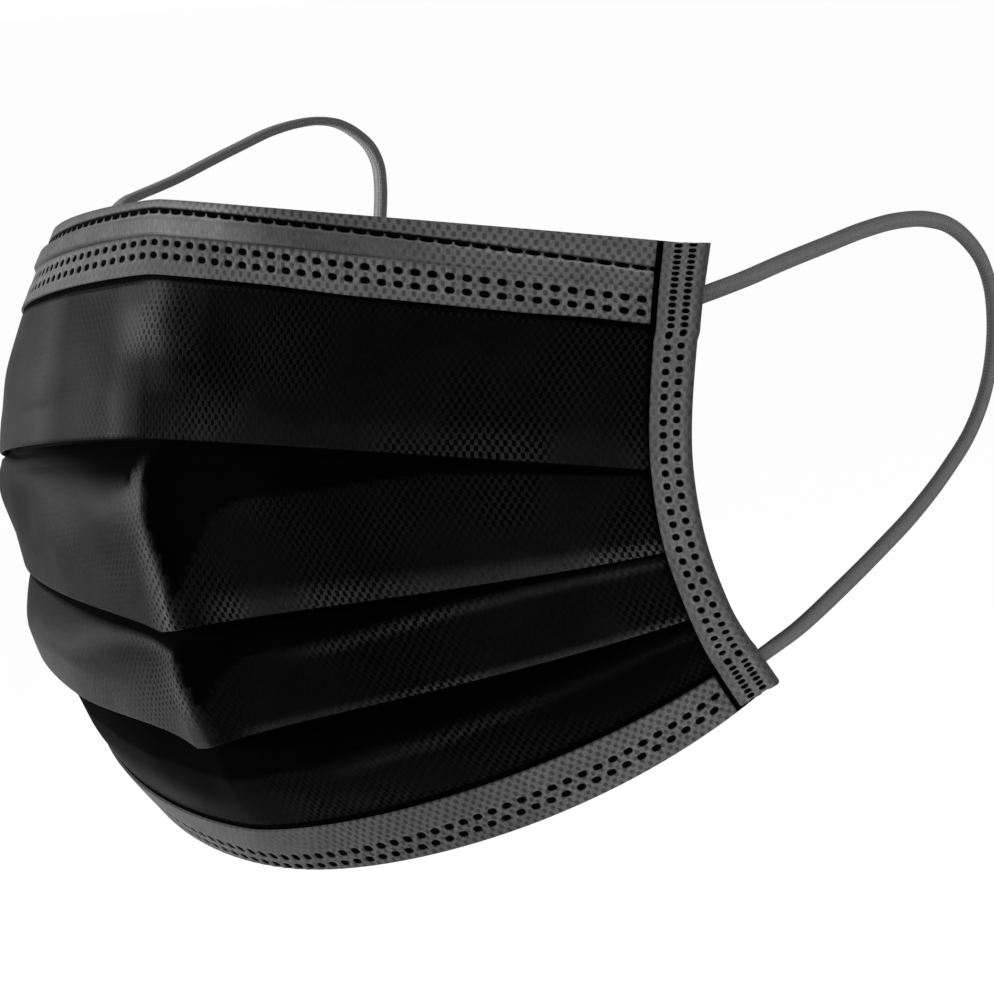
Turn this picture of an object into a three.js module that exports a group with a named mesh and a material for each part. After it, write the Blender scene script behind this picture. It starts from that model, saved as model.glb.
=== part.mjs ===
// A disposable three-ply face mask, opened out as it is when worn.
// Millimetres, +Z up. The front faces -Y and the mask is symmetrical about X = 0.
// The origin is the nose seat: the inner face of the top hem, in its middle.
import * as THREE from 'three';

// Cloth and folding
const clothThickness = 1.0;
const layerGap = 0.3;
const layerPitch = clothThickness + layerGap;
const turnRadius = layerPitch / 2; // of the cloth's middle where it doubles back on itself
const turnSteps = 3; // straight steps round a half turn
const mitreLimit = 0.5;
const columns = 34; // steps across the mask
const panelStep = 6.5; // longest straight step down a panel in the middle of the mask

// The cloth's level lines, from the top edge down. mid is where a line crosses the centre
// plane, end is its left end, bend is the power at which its height runs from one to the other,
// and ridge is how far the soft crease down the middle pushes it forwards.
const wrapAngle = THREE.MathUtils.degToRad(71); // how far each half wraps round the face
const ridgeReach = 14;
const levels = [
  { name: 'topEdge', midY: -0.6, midZ: 5.6, endX: 64.0, endY: 53.6, endZ: -6.5, bend: 1.3, ridge: 0 },
  { name: 'hemSeam', midY: -3.0, midZ: -5.8, endX: 69.4, endY: 43.8, endZ: -19.0, bend: 1.3, ridge: 0 },
  { name: 'upperPleat', midY: -7.6, midZ: -30.6, endX: 72.9, endY: 36.9, endZ: -39.9, bend: 1.5, ridge: 0 },
  { name: 'midPleat', midY: -4.4, midZ: -60.7, endX: 72.4, endY: 39.5, endZ: -50.9, bend: 0.9, ridge: 1.6 },
  { name: 'lowerPleat', midY: 1.9, midZ: -79.5, endX: 73.2, endY: 43.0, endZ: -60.7, bend: 1.0, ridge: 1.6 },
  { name: 'chinSeam', midY: 11.6, midZ: -93.8, endX: 70.3, endY: 51.3, endZ: -68.0, bend: 1.6, ridge: 0 },
  { name: 'bottomEdge', midY: 19.3, midZ: -101.2, endX: 68.8, endY: 57.6, endZ: -73.8, bend: 1.8, ridge: 0 },
];
const levelNumber = (name) => levels.findIndex((level) => level.name === name);
const hemSeam = levelNumber('hemSeam');
const chinSeam = levelNumber('chinSeam');
const bottomEdge = levelNumber('bottomEdge');

// The pleats open downwards. crest is the level of the fold's edge, fold is how far the cloth
// doubles back behind it, and open is how far the fold stands open in the middle of the mask.
const pleats = [
  { crest: levelNumber('upperPleat'), fold: 5.0, open: 3.0 },
  { crest: levelNumber('midPleat'), fold: 5.0, open: 3.0 },
  { crest: levelNumber('lowerPleat'), fold: 5.0, open: 2.4 },
];
const crestClearance = 1.2; // how far a panel hangs below the crest above it before it comes forward
const foldEase = 0.8; // flat cloth between a panel's slope and its own fold

// Hems, wire and bindings
const hemPitch = layerPitch + 0.15; // from the middle of the cloth to the middle of each leg of a hem
const hemEdgeInset = 2.2; // the cloth's edge inside the turn of a hem
const hemBackShort = 1.0; // the inner leg of a hem is this much shorter
const wire = { width: 2.6, thickness: 0.8, halfLength: 50, fromTop: 2.8, steps: 18 };
const channelEase = 0.2; // how far the channel is let down below the middle of the wire
const channelRamp = 0.5;
const channelFade = 4;
const bindingWidth = 7.0;
const bindingTurnDepth = 1.4; // of the rounded outer edge, across the mask
const bindingOverhang = { top: 0.3, bottom: 0.8 };
const bindingEase = 3.0; // over which the binding steps down from a hem to the single cloth
const bindingClear = 0.5; // past a hem's seam, before it steps down
const bindingSteps = { down: 30, turn: 6 };
const binding = {
  overHem: { front: 3.1, back: -3.1 },
  overCloth: { front: 1.65, back: -4.2 },
};
const clothEndInset = bindingTurnDepth + clothThickness / 2 + 0.8; // hems and cloth end inside them

// Ear loops: flat knitted elastic. Each route [x, y, z] runs from the binding's upper end, back
// round the ear and forwards to the binding's lower end. The right loop stands higher and its
// band is turned on edge.
const elastic = { width: 2.6, thickness: 1.6, corner: 0.45, steps: 48 };
const leftLoopRoute = [
  [67.2, 49.6, -13.6], [66.8, 57.0, -12.5], [65.8, 68.7, -10.5], [64.7, 80.5, -8.7],
  [63.6, 91.5, -7.1], [62.7, 100.3, -6.4], [61.8, 109.5, -6.8], [61.1, 115.9, -8.3],
  [60.6, 120.7, -10.9], [60.3, 124.4, -14.4], [60.1, 126.5, -18.8], [60.0, 127.0, -24.2],
  [60.1, 125.9, -30.2], [60.4, 123.2, -36.0], [60.8, 118.6, -41.6], [61.4, 111.2, -47.2],
  [62.5, 101.5, -52.7], [63.8, 89.6, -58.1], [65.3, 77.6, -62.9], [67.1, 65.9, -67.2],
  [68.9, 55.8, -70.1],
];
const rightLoopRoute = [
  [-66.9, 51.1, -11.2], [-67.3, 54.0, -6.2], [-67.1, 58.2, -0.7], [-66.5, 63.4, 3.7],
  [-65.7, 70.4, 7.3], [-64.8, 78.8, 10.2], [-63.9, 87.2, 12.5], [-63.2, 94.4, 13.7],
  [-62.6, 101.2, 13.2], [-62.0, 106.6, 10.4], [-61.6, 110.2, 6.2], [-61.5, 111.8, 0.9],
  [-61.5, 111.4, -6.2], [-61.7, 109.2, -14.6], [-62.0, 105.4, -23.4], [-62.4, 100.0, -32.3],
  [-63.0, 92.8, -41.4], [-64.0, 84.0, -50.4], [-65.5, 74.0, -58.8], [-67.3, 64.0, -65.8],
  [-68.9, 55.9, -70.3],
];

const fabric = new THREE.MeshStandardMaterial({ color: 0x151515, roughness: 0.85, metalness: 0 });
const bandFabric = new THREE.MeshStandardMaterial({ color: 0x4a4a4a, roughness: 0.8, metalness: 0 });
const wireSteel = new THREE.MeshStandardMaterial({ color: 0x8c8c8c, roughness: 0.5, metalness: 0.6 });
const elasticKnit = new THREE.MeshStandardMaterial({ color: 0x5a5a5a, roughness: 0.75, metalness: 0 });

const mask = new THREE.Group();

// The smooth sheet that the pleats are folded along

function levelPoint(level, across) {
  const angle = wrapAngle * across;
  const x = (level.endX * Math.sin(angle)) / Math.sin(wrapAngle);
  const wrapped = (1 - Math.cos(angle)) / (1 - Math.cos(wrapAngle));
  const ridge = level.ridge * Math.exp(-Math.abs(x) / ridgeReach);
  const y = THREE.MathUtils.lerp(level.midY, level.endY, wrapped) - ridge;
  const z = THREE.MathUtils.lerp(level.midZ, level.endZ, Math.abs(across) ** level.bend);
  return new THREE.Vector3(x, y, z);
}

// The slope of the smooth curve where one chord meets the next, for each millimetre along it
function slopeBetween(arriving, leaving) {
  const a = arriving.length();
  const b = leaving.length();
  if (a === 0) return leaving.clone().divideScalar(b);
  if (b === 0) return arriving.clone().divideScalar(a);
  const blend = leaving.clone().multiplyScalar(a / b).addScaledVector(arriving, b / a);
  return blend.divideScalar(a + b);
}

// A point on the smooth curve down through the level lines: place 2.5 is halfway from level 2
// to level 3. Past the edges the sheet runs on straight.
function sheetPoint(across, place) {
  const index = THREE.MathUtils.clamp(Math.floor(place), 0, levels.length - 2);
  const t = place - index;
  const [before, above, below, after] = [-1, 0, 1, 2].map((step) => {
    const near = THREE.MathUtils.clamp(index + step, 0, levels.length - 1);
    return levelPoint(levels[near], across);
  });
  const point = above.clone().lerp(below, t);
  if (t < 0 || t > 1) return point;
  const chord = below.clone().sub(above);
  const length = chord.length();
  const turnIn = slopeBetween(above.clone().sub(before), chord).multiplyScalar(length).sub(chord);
  const turnOut = slopeBetween(chord, after.sub(below)).multiplyScalar(length).sub(chord);
  point.addScaledVector(turnIn, t * (1 - t) ** 2);
  return point.addScaledVector(turnOut, -t * t * (1 - t));
}

// How far down the cloth each level line lies from the top edge.
function levelDistances(across) {
  const distances = [0];
  for (let i = 1; i < levels.length; i += 1) {
    const step = levelPoint(levels[i], across).distanceTo(levelPoint(levels[i - 1], across));
    distances.push(distances[i - 1] + step);
  }
  return distances;
}

function placeOf(down, distances) {
  let index = 0;
  while (index < distances.length - 2 && down > distances[index + 1]) index += 1;
  return index + (down - distances[index]) / (distances[index + 1] - distances[index]);
}

function sheetNormal(across, place) {
  const aside = 0.02;
  const along = 0.25;
  const sideways = sheetPoint(across + aside, place).sub(sheetPoint(across - aside, place));
  const downward = sheetPoint(across, place + along).sub(sheetPoint(across, place - along));
  return downward.cross(sideways).normalize();
}

function offSheet(across, place, out) {
  return sheetPoint(across, place).addScaledVector(sheetNormal(across, place), out);
}

// Millimetres for one step of across at the side ends
function sideReach(place) {
  const step = 0.04;
  return sheetPoint(1, place).distanceTo(sheetPoint(1 - step, place)) / step;
}

// Closed solids

// A wall of even thickness about a middle line, as one closed outline
function wallOutline(middle, thickness) {
  const front = [];
  const back = [];
  middle.forEach((point, i) => {
    const before = middle[Math.max(i - 1, 0)];
    const after = middle[Math.min(i + 1, middle.length - 1)];
    const arriving = point.clone().sub(before);
    const leaving = after.clone().sub(point);
    if (i === 0) arriving.copy(leaving);
    if (i === middle.length - 1) leaving.copy(arriving);
    const direction = arriving.normalize().add(leaving.normalize()).normalize();
    const half = thickness / 2 / Math.max(direction.dot(leaving), mitreLimit);
    const normal = new THREE.Vector2(-direction.y, direction.x).multiplyScalar(half);
    front.push(point.clone().add(normal));
    back.push(point.clone().sub(normal));
  });
  return [...front, ...back.reverse()];
}

// An end cap, as strips between the outline's two long sides
function capFaces(count) {
  const faces = [];
  for (let i = 0; i < count / 2 - 1; i += 1) {
    const opposite = count - 1 - i;
    faces.push([i, i + 1, opposite - 1], [i, opposite - 1, opposite]);
  }
  return faces;
}

// Joins a row of outlines with equally many points into one closed solid.
// Each station is { outline, toSpace }, where toSpace turns an outline point into a Vector3.
function loft(stations) {
  const count = stations[0].outline.length;
  const positions = [];
  for (const { outline, toSpace } of stations) {
    for (const point of outline) positions.push(...toSpace(point).toArray());
  }
  const index = [];
  for (let s = 0; s < stations.length - 1; s += 1) {
    for (let i = 0; i < count; i += 1) {
      const a = s * count + i;
      const b = s * count + ((i + 1) % count);
      index.push(a, b, b + count, a, b + count, a + count);
    }
  }
  const last = (stations.length - 1) * count;
  for (const [a, b, c] of capFaces(count)) {
    index.push(a, c, b, last + a, last + b, last + c);
  }
  const geometry = new THREE.BufferGeometry();
  geometry.setAttribute('position', new THREE.Float32BufferAttribute(positions, 3));
  geometry.setIndex(index);
  return facingOut(geometry);
}

function facingOut(geometry) {
  const position = geometry.getAttribute('position');
  const corner = [new THREE.Vector3(), new THREE.Vector3(), new THREE.Vector3()];
  const index = geometry.getIndex().array;
  let volume = 0;
  for (let i = 0; i < index.length; i += 3) {
    corner.forEach((point, k) => point.fromBufferAttribute(position, index[i + k]));
    volume += corner[0].dot(corner[1].cross(corner[2]));
  }
  if (volume < 0) {
    for (let i = 0; i < index.length; i += 3) {
      [index[i + 1], index[i + 2]] = [index[i + 2], index[i + 1]];
    }
  }
  geometry.computeVertexNormals();
  return geometry;
}

function addPiece(name, geometry, material) {
  const piece = new THREE.Mesh(geometry, material);
  piece.name = name;
  mask.add(piece);
}

// A piece that runs across the mask. middleAt gives its outline for one place across.
function acrossPiece(outlineAt, half, steps) {
  const stations = [];
  for (let i = 0; i <= steps; i += 1) {
    const across = THREE.MathUtils.lerp(-half, half, i / steps);
    const distances = levelDistances(across);
    stations.push({
      outline: outlineAt(across, distances),
      toSpace: (point) => offSheet(across, placeOf(point.x, distances), point.y),
    });
  }
  return loft(stations);
}

// A half turn of the cloth about (down, out), from one angle to another in degrees
function turnAbout(down, out, radius, from, to) {
  const points = [];
  for (let i = 0; i <= turnSteps; i += 1) {
    const angle = THREE.MathUtils.degToRad(THREE.MathUtils.lerp(from, to, i / turnSteps));
    points.push(new THREE.Vector2(down + radius * Math.cos(angle), out + radius * Math.sin(angle)));
  }
  return points;
}

// Adds a straight stretch of cloth to a middle line, in steps
function layFlat(middle, down, out, steps) {
  const from = middle[middle.length - 1].clone();
  const to = new THREE.Vector2(down, out);
  for (let i = 1; i <= steps; i += 1) middle.push(from.clone().lerp(to, i / steps));
}

// Body: one sheet folded back on itself twice at each pleat

const midDistances = levelDistances(0);

// The same number of steps is taken all the way across
function panelSteps(fromLevel, toLevel) {
  return Math.ceil((midDistances[toLevel] - midDistances[fromLevel]) / panelStep / 2);
}

function bodyOutline(across, distances) {
  const middle = [new THREE.Vector2(hemEdgeInset, 0)];
  layFlat(middle, distances[hemSeam], 0, 2);
  for (const { crest, fold, open } of pleats) {
    const crestDown = distances[crest];
    const edge = crestDown - clothThickness / 2 - turnRadius;
    const spread = open * (1 - across ** 2) ** 2;
    const foldTop = crestDown - fold;
    layFlat(middle, foldTop - foldEase, 0, panelSteps(crest - 1, crest));
    middle.push(...turnAbout(edge, -turnRadius, turnRadius, 90, -90));
    middle.push(...turnAbout(foldTop, -3 * turnRadius - spread, turnRadius, 90, 270));
    middle.push(new THREE.Vector2(crestDown + crestClearance, -4 * turnRadius - spread / 2));
  }
  layFlat(middle, distances[chinSeam] - 1, 0, 2);
  layFlat(middle, distances[bottomEdge] - hemEdgeInset, 0, 1);
  return wallOutline(middle, clothThickness);
}

const clothHalf = 1 - clothEndInset / sideReach(hemSeam);
addPiece('mask_body', acrossPiece(bodyOutline, clothHalf, columns), fabric);

// Hems: folded round the cloth's top and bottom edges

const wireHalf = wire.halfLength / sideReach(0);

function channelHeight(across) {
  const past = (Math.abs(across) - wireHalf) * sideReach(0) - layerGap;
  const raised = 1 - THREE.MathUtils.smoothstep(past, 0, channelFade);
  return raised * (wire.thickness + layerGap);
}

function topHemOutline(across, distances) {
  const seam = distances[hemSeam];
  const raised = hemPitch + channelHeight(across);
  const channelTop = wire.fromTop - layerGap - clothThickness / 2 + channelEase;
  const channelBottom = wire.fromTop + wire.width + layerGap + channelEase;
  const turnCentre = hemPitch + clothThickness / 2;
  const middle = [
    new THREE.Vector2(seam, hemPitch),
    new THREE.Vector2(channelBottom + channelRamp, hemPitch),
    new THREE.Vector2(channelBottom, raised),
    new THREE.Vector2(channelTop, raised),
    ...turnAbout(turnCentre, 0, hemPitch, 90, 270),
  ];
  layFlat(middle, seam - hemBackShort, -hemPitch, 2);
  return wallOutline(middle, clothThickness);
}

function bottomHemOutline(across, distances) {
  const seam = distances[chinSeam];
  const turnCentre = distances[bottomEdge] - hemPitch - clothThickness / 2;
  const middle = [
    new THREE.Vector2(seam, hemPitch),
    ...turnAbout(turnCentre, 0, hemPitch, 90, -90),
  ];
  layFlat(middle, seam + hemBackShort, -hemPitch, 2);
  return wallOutline(middle, clothThickness);
}

addPiece('top_hem', acrossPiece(topHemOutline, clothHalf, columns), bandFabric);
addPiece('bottom_hem', acrossPiece(bottomHemOutline, clothHalf, columns), bandFabric);

// Nose wire: a flat strip between the cloth and the top hem

function wireOutline() {
  const inner = clothThickness / 2 + layerGap;
  const top = wire.fromTop;
  const bottom = wire.fromTop + wire.width;
  return [
    new THREE.Vector2(top, inner),
    new THREE.Vector2(bottom, inner),
    new THREE.Vector2(bottom, inner + wire.thickness),
    new THREE.Vector2(top, inner + wire.thickness),
  ];
}

addPiece('nose_wire', acrossPiece(wireOutline, wireHalf, wire.steps), wireSteel);

// Side bindings: folded round the side edges, over the ends of the hems

function bindingOutline(down, distances) {
  const hemPast = distances[hemSeam] + bindingClear;
  const chinBefore = distances[chinSeam] - bindingClear;
  const belowHem = THREE.MathUtils.smoothstep(down, hemPast, hemPast + bindingEase);
  const atChin = THREE.MathUtils.smoothstep(down, chinBefore - bindingEase, chinBefore);
  const single = belowHem - atChin;
  const front = THREE.MathUtils.lerp(binding.overHem.front, binding.overCloth.front, single);
  const back = THREE.MathUtils.lerp(binding.overHem.back, binding.overCloth.back, single);
  const turnCentre = bindingTurnDepth + clothThickness / 2;
  const centre = (front + back) / 2;
  const half = (front - back) / 2;
  const middle = [new THREE.Vector2(bindingWidth, front)];
  for (let i = 0; i <= bindingSteps.turn; i += 1) {
    const angle = (Math.PI * i) / bindingSteps.turn;
    const inward = turnCentre - bindingTurnDepth * Math.sin(angle);
    middle.push(new THREE.Vector2(inward, centre + half * Math.cos(angle)));
  }
  middle.push(new THREE.Vector2(bindingWidth, back));
  return wallOutline(middle, clothThickness);
}

function bindingPiece(side) {
  const distances = levelDistances(1);
  const from = -bindingOverhang.top;
  const to = distances[bottomEdge] + bindingOverhang.bottom;
  const stations = [];
  for (let i = 0; i <= bindingSteps.down; i += 1) {
    const down = THREE.MathUtils.lerp(from, to, i / bindingSteps.down);
    const place = placeOf(down, distances);
    stations.push({
      outline: bindingOutline(down, distances),
      toSpace: (point) => offSheet(side * (1 - point.x / sideReach(place)), place, point.y),
    });
  }
  return loft(stations);
}

addPiece('side_binding_left', bindingPiece(1), bandFabric);
addPiece('side_binding_right', bindingPiece(-1), bandFabric);

// Ear loops

// In the route's own plane the band measures inPlane, and throughPlane across it.
function elasticSection(throughPlane, inPlane) {
  const x = throughPlane / 2;
  const y = inPlane / 2;
  const cut = elastic.corner;
  const corners = [
    [x - cut, -y], [x, cut - y], [x, y - cut], [x - cut, y],
    [cut - x, y], [-x, y - cut], [-x, cut - y], [cut - x, -y],
  ];
  return new THREE.Shape(corners.map(([cornerX, cornerY]) => new THREE.Vector2(cornerX, cornerY)));
}

function earLoop(route, throughPlane, inPlane) {
  const path = new THREE.CatmullRomCurve3(route.map(([x, y, z]) => new THREE.Vector3(x, y, z)));
  const settings = { steps: elastic.steps, bevelEnabled: false, extrudePath: path };
  return new THREE.ExtrudeGeometry(elasticSection(throughPlane, inPlane), settings);
}

addPiece('ear_loop_left', earLoop(leftLoopRoute, elastic.thickness, elastic.width), elasticKnit);
addPiece('ear_loop_right', earLoop(rightLoopRoute, elastic.width, elastic.thickness), elasticKnit);

export default mask;
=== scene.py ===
# Dresses the CAD frame of a pleated three-ply face mask: cloth, hems, bindings, nose wire and
# ear loops. Metres, with the front towards -Y and +Z up.
from math import ceil, cos, pi, radians, sin

import bpy
import numpy as np
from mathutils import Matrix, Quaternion, Vector


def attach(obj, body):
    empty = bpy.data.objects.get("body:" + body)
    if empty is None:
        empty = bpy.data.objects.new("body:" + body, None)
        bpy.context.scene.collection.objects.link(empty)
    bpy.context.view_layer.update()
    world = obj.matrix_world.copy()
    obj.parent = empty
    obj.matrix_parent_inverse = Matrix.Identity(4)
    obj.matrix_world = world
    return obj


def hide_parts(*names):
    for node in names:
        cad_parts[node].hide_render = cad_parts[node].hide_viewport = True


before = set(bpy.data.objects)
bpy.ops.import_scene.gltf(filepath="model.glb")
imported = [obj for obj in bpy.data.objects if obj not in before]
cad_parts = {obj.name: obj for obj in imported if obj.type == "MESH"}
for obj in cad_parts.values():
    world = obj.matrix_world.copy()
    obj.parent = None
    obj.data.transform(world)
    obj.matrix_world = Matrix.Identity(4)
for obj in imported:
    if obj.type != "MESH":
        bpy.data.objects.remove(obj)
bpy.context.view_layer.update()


# Camera, light and floor

shot = {
    "azimuth": 43.5,  # degrees round from the front, towards the wearer's left
    "elevation": 5.0,
    "roll": 3.7,
    "place": (0.65595, -0.62067, 0.03529),
    "lens": 212.5,
}


def awayVector(azimuth, elevation):
    a, e = radians(azimuth), radians(elevation)
    return Vector((sin(a) * cos(e), -cos(a) * cos(e), sin(e)))


def placeCamera():
    data = bpy.data.cameras.new("maskCamera")
    data.lens = shot["lens"]
    data.clip_start, data.clip_end = 0.05, 400
    camera = bpy.data.objects.new("maskCamera", data)
    camera.location = shot["place"]
    camera.rotation_mode = "QUATERNION"
    aim = (-awayVector(shot["azimuth"], shot["elevation"])).to_track_quat("-Z", "Y")
    camera.rotation_quaternion = aim @ Quaternion((0, 0, 1), radians(-shot["roll"]))
    bpy.context.collection.objects.link(camera)
    bpy.context.scene.camera = camera


placeCamera()
print("camera placed")


# Node trees

def newNode(tree, kind, settings=None, inputs=None, output=0):
    # one node: its settings first, then values, colours or links for its sockets
    node = tree.nodes.new(kind)
    for name, value in (settings or {}).items():
        setattr(node, name, value)
    for name, value in (inputs or {}).items():
        socket = node.inputs[name]
        if isinstance(value, Port):
            tree.links.new(value.socket, socket)
        else:
            socket.default_value = value
    return Port(tree, node.outputs[output]) if node.outputs else node


class Port:  # a node's output that takes part in Python arithmetic
    def __init__(self, tree, socket):
        self.tree = tree
        self.socket = socket

    def math(self, operation, *others):
        inputs = dict(enumerate((self, *others)))
        return newNode(self.tree, "ShaderNodeMath", {"operation": operation}, inputs)

    def __add__(self, other):
        return self.math("ADD", other)

    def __sub__(self, other):
        return self.math("SUBTRACT", other)

    def __rsub__(self, other):
        return newNode(self.tree, "ShaderNodeMath", {"operation": "SUBTRACT"}, {0: other, 1: self})

    def __mul__(self, other):
        return self.math("MULTIPLY", other)

    def __truediv__(self, other):
        return self.math("DIVIDE", other)

    __radd__ = __add__
    __rmul__ = __mul__

    def smooth(self, low, high):
        # 0 at low and 1 at high, eased
        settings = {"interpolation_type": "SMOOTHSTEP"}
        inputs = {"Value": self, "From Min": low, "From Max": high}
        return newNode(self.tree, "ShaderNodeMapRange", settings, inputs)


def separated(port):
    axes = newNode(port.tree, "ShaderNodeSeparateXYZ", inputs={0: port}).socket.node.outputs
    return [Port(port.tree, socket) for socket in axes]


# The smooth sheet that the cloth is folded along

levelTable = [  # each level line's middle (y, z), its left end (x, y, z), and its course between them
    dict(name="topEdge", middle=(-0.0006, 0.0056), end=(0.0640, 0.0536, -0.0065), bend=1.3, ridge=0),
    dict(name="hemSeam", middle=(-0.0030, -0.0058), end=(0.0694, 0.0438, -0.0190), bend=1.3, ridge=0),
    dict(name="upperPleat", middle=(-0.0076, -0.0306), end=(0.0729, 0.0369, -0.0399), bend=1.5, ridge=0),
    dict(name="midPleat", middle=(-0.0044, -0.0607), end=(0.0724, 0.0395, -0.0509), bend=0.9, ridge=0.0016),
    dict(name="lowerPleat", middle=(0.0019, -0.0795), end=(0.0732, 0.043, -0.0607), bend=1.0, ridge=0.0016),
    dict(name="chinSeam", middle=(0.0116, -0.0938), end=(0.0703, 0.0513, -0.0680), bend=1.6, ridge=0),
    dict(name="bottomEdge", middle=(0.0193, -0.1012), end=(0.0688, 0.0576, -0.0738), bend=1.8, ridge=0),
]
levelNumber = {row["name"]: i for i, row in enumerate(levelTable)}
hemSeam, chinSeam, bottomEdge = (levelNumber[name] for name in ("hemSeam", "chinSeam", "bottomEdge"))
wrapAngle = radians(71)  # how far each half wraps round the face
ridgeReach = 0.014  # of the soft crease down the middle


def levelPoints(across):
    # the level lines' points at each place across, as (level, place, xyz)
    angle = wrapAngle * across
    wrapped = (1 - np.cos(angle)) / (1 - cos(wrapAngle))
    lines = []
    for row in levelTable:
        (midY, midZ), (endX, endY, endZ) = row["middle"], row["end"]
        x = endX * np.sin(angle) / sin(wrapAngle)
        y = midY + (endY - midY) * wrapped - row["ridge"] * np.exp(-abs(x) / ridgeReach)
        z = midZ + (endZ - midZ) * abs(across) ** row["bend"]
        lines.append(np.stack([x, y, z], -1))
    return np.stack(lines)


def lengthOf(vectors):
    return np.linalg.norm(vectors, axis=-1, keepdims=True)


def runAlong(line):
    # how far along a line each of its points lies
    return np.concatenate([[0], np.cumsum(np.linalg.norm(np.diff(line, axis=0), axis=-1))])


def slopeBetween(arriving, leaving):
    # the smooth curve's slope where two chords meet, for each metre along it
    a, b = lengthOf(arriving), lengthOf(leaving)
    a, b = np.where(a == 0, b * 1e-6, a), np.where(b == 0, a * 1e-6, b)
    return (leaving * (a / b) + arriving * (b / a)) / (a + b)


def bentCourse(chord, long, slopeIn, slopeOut, t):
    # how far a smooth curve lies beside its chord
    return (slopeIn * long - chord) * t * (1 - t) ** 2 - (slopeOut * long - chord) * t * t * (1 - t)


def sheetPoints(across, place):
    # place 2.5 is halfway from level 2 to level 3, and past the edges the sheet runs on straight
    across, place = np.broadcast_arrays(across, place)
    lines = levelPoints(across)
    index = np.clip(np.floor(place).astype(int), 0, len(levelTable) - 2)
    t = (place - index)[..., None]
    near = [np.clip(index + step, 0, len(levelTable) - 1) for step in (-1, 0, 1, 2)]
    before, above, below, after = (np.take_along_axis(lines, i[None, ..., None], 0)[0] for i in near)
    chord = below - above
    first, last = (index == 0)[..., None], (index == len(levelTable) - 2)[..., None]
    slopeIn = np.where(first, chord / lengthOf(chord), slopeBetween(above - before + first * chord, chord))
    slopeOut = np.where(last, chord / lengthOf(chord), slopeBetween(chord, after - below + last * chord))
    bent = bentCourse(chord, lengthOf(chord), slopeIn, slopeOut, t)
    return above + chord * t + np.where((t >= 0) & (t <= 1), bent, 0)


def levelDistances(across):
    # how far down the cloth each level line lies from the top edge, as (level, place)
    steps = np.linalg.norm(np.diff(levelPoints(across), axis=0), axis=-1)
    return np.concatenate([np.zeros_like(steps[:1]), np.cumsum(steps, 0)])


def distancesAt(across):
    return levelDistances(np.array([across]))[:, 0]


def onCloth(across, down, out):
    # points at a distance down the cloth and out from the sheet
    across, down, out = np.broadcast_arrays(across, down, out)
    distances = levelDistances(across)
    index = np.sum([down > distances[i] for i in range(1, len(levelTable) - 1)], 0)
    upper = np.take_along_axis(distances, index[None], 0)[0]
    lower = np.take_along_axis(distances, index[None] + 1, 0)[0]
    place = index + (down - upper) / (lower - upper)
    aside, along = 0.02, 0.25  # to either side of a point, for the slope there
    sideways = sheetPoints(across + aside, place) - sheetPoints(across - aside, place)
    downward = sheetPoints(across, place + along) - sheetPoints(across, place - along)
    normal = np.cross(downward, sideways)
    return sheetPoints(across, place) + normal / lengthOf(normal) * out[..., None]


def ease(low, high, value):
    # 0 at low and 1 at high, eased; low may be the larger one
    t = np.clip((value - low) / (high - low), 0, 1)
    return t * t * (3 - 2 * t)


ruler = np.linspace(-1, 1, 801)  # measures the arc along the cloth, from the middle outwards
rulerLine = onCloth(ruler, 0.03, 0)
rulerArc = runAlong(rulerLine)
rulerArc = rulerArc - rulerArc[-1] / 2
halfArc = rulerArc[-1]


def acrossAt(arc):
    return float(np.interp(arc, rulerArc, ruler))


def bell(middle, width, value):
    return np.exp(-((value - middle) / width) ** 2)


def readOff(table, place):
    # the value at one place, from a table of (place, value)
    return np.interp(place, *zip(*table))


def tagOf(*columns):
    # three values for each point of a line, for a shell's attribute
    return np.stack(np.broadcast_arrays(*columns), -1)


# Closed shells of cloth

def wallRing(middle, wall, inner, outerSide):
    # the closed outline round a middle line (down, out): its outer side, then a sparser inner side
    chords = np.diff(middle, axis=0)
    chords = chords / lengthOf(chords)
    direction = np.concatenate([chords[:1], chords[:-1] + chords[1:], chords[-1:]])
    direction = direction / lengthOf(direction)
    stretch = np.sum(direction * np.concatenate([chords, chords[-1:]]), -1, keepdims=True)
    normal = np.stack([-direction[:, 1], direction[:, 0]], -1) / np.maximum(stretch, 0.6)
    normal = normal * wall / 2 * outerSide
    return np.concatenate([middle + normal, (middle - normal)[inner][::-1]])


def capFaces(outerCount, innerCount):
    # a strip of faces between the outer and the inner side of one outline
    faces, i, j = [], 0, 0
    last = outerCount + innerCount - 1
    while i < outerCount - 1 or j < innerCount - 1:
        if (i + 1) * (innerCount - 1) <= (j + 1) * (outerCount - 1):
            faces.append((i, i + 1, last - j))
            i += 1
        else:
            faces.append((i, last - j - 1, last - j))
            j += 1
    return faces


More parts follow.
